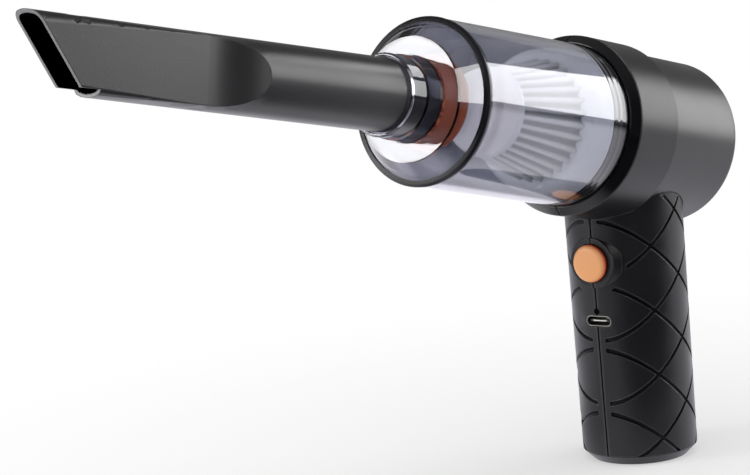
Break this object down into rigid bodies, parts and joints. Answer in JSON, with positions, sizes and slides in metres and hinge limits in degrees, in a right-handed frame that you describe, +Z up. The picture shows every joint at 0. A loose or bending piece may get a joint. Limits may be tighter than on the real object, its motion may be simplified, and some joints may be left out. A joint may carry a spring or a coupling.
{
  "type": "handheld vacuum",
  "caption": "Cordless pistol-shaped handheld vacuum with a lattice grip, smoked clear dust cup, pleated filter, sprung button and long crevice tool.",
  "frame": {"origin": "centre of the flat underside of the grip's foot", "axes": "+Z up along the grip, nose and crevice tool towards -X, +X to the exhaust, Y across the two halves"},
  "size_m": [0.2609, 0.0532, 0.1578],
  "materials": {
    "graphite_shell": "satin, fine moulded grain",
    "charcoal_grip": "satin, fine moulded grain",
    "tool_plastic": "satin",
    "smoked_clear": "polished, smoked, transparent",
    "black_gloss": "glossy black",
    "black_plastic": "matt black",
    "orange_plastic": "satin orange",
    "orange_silicone": "soft orange silicone",
    "seal_rubber": "matt",
    "filter_paper": "white pleated fleece",
    "filter_plastic": "frosted white",
    "steel": "bright",
    "magnet": "dark ferrite",
    "copper": "enamelled copper",
    "bronze": "sintered bronze",
    "cell_wrap": "shrink-wrapped cell",
    "nickel": "nickel strip",
    "board": "green solder mask",
    "impeller_plastic": "natural nylon"
  },
  "bodies": {
    "housing": {"body_left": "charcoal_grip", "body_right": "charcoal_grip", "rear_cap": "graphite_shell", "base_cap": "charcoal_grip", "case_screws": "steel", "cup_seat": "black_plastic", "cup_seal": "seal_rubber", "fan_shroud": "black_plastic", "diffuser": "black_plastic", "motor_can": "steel", "motor_magnets": "magnet", "motor_end_cap": "black_plastic", "motor_bushings": "bronze", "motor_screws": "steel", "battery_cell": "cell_wrap", "battery_tabs": "nickel", "circuit_board": "board", "usb_shell": "steel", "usb_tongue": "black_plastic", "charge_light": "black_gloss", "switch_body": "steel"},
    "button": {"power_button": "orange_plastic", "switch_plunger": "black_plastic"},
    "fan": {"impeller": "impeller_plastic", "motor_shaft": "steel", "rotor_core": "steel", "rotor_winding": "copper", "commutator": "copper"},
    "cup": {"dust_cup": "smoked_clear", "rim_ring": "black_gloss", "inlet_sleeve": "orange_silicone"},
    "flap": {"inlet_flap": "orange_silicone"},
    "catch": {"cup_catch": "orange_plastic"},
    "filter": {"filter_base": "filter_plastic", "filter_media": "filter_paper", "filter_cap": "filter_plastic", "filter_seal": "seal_rubber"},
    "tool": {"crevice_tool": "tool_plastic"}
  },
  "joints": [
    {"name": "cup_slide", "type": "slide", "parent": "housing", "child": "cup", "axis": [-0.9744, 0, 0.225], "range_m": [0, 0.025]},
    {"name": "filter_slide", "type": "slide", "parent": "housing", "child": "filter", "axis": [-0.9744, 0, 0.225], "range_m": [0, 0.005]},
    {"name": "tool_slide", "type": "slide", "parent": "cup", "child": "tool", "axis": [-0.9744, 0, 0.225], "range_m": [0, 0.018]},
    {"name": "flap_hinge", "type": "hinge", "parent": "cup", "child": "flap", "pos_m": [-0.08457, 0, 0.12946], "axis": [0, -1, 0], "range_deg": [0, 45], "stiffness_Nm_per_rad": 0.0005, "springref_deg": -17.19},
    {"name": "catch_press", "type": "slide", "parent": "housing", "child": "catch", "axis": [0.225, 0, 0.9744], "range_m": [0, 0.0005], "stiffness_N_per_m": 400, "springref_m": -0.0005},
    {"name": "button_press", "type": "slide", "parent": "housing", "child": "button", "axis": [1, 0, 0], "range_m": [0, 0.001], "stiffness_N_per_m": 600, "springref_m": -0.0005},
    {"name": "fan_spin", "type": "hinge", "parent": "housing", "child": "fan", "pos_m": [0, 0, 0.0988], "axis": [-0.9744, 0, 0.225], "continuous": true}
  ]
}
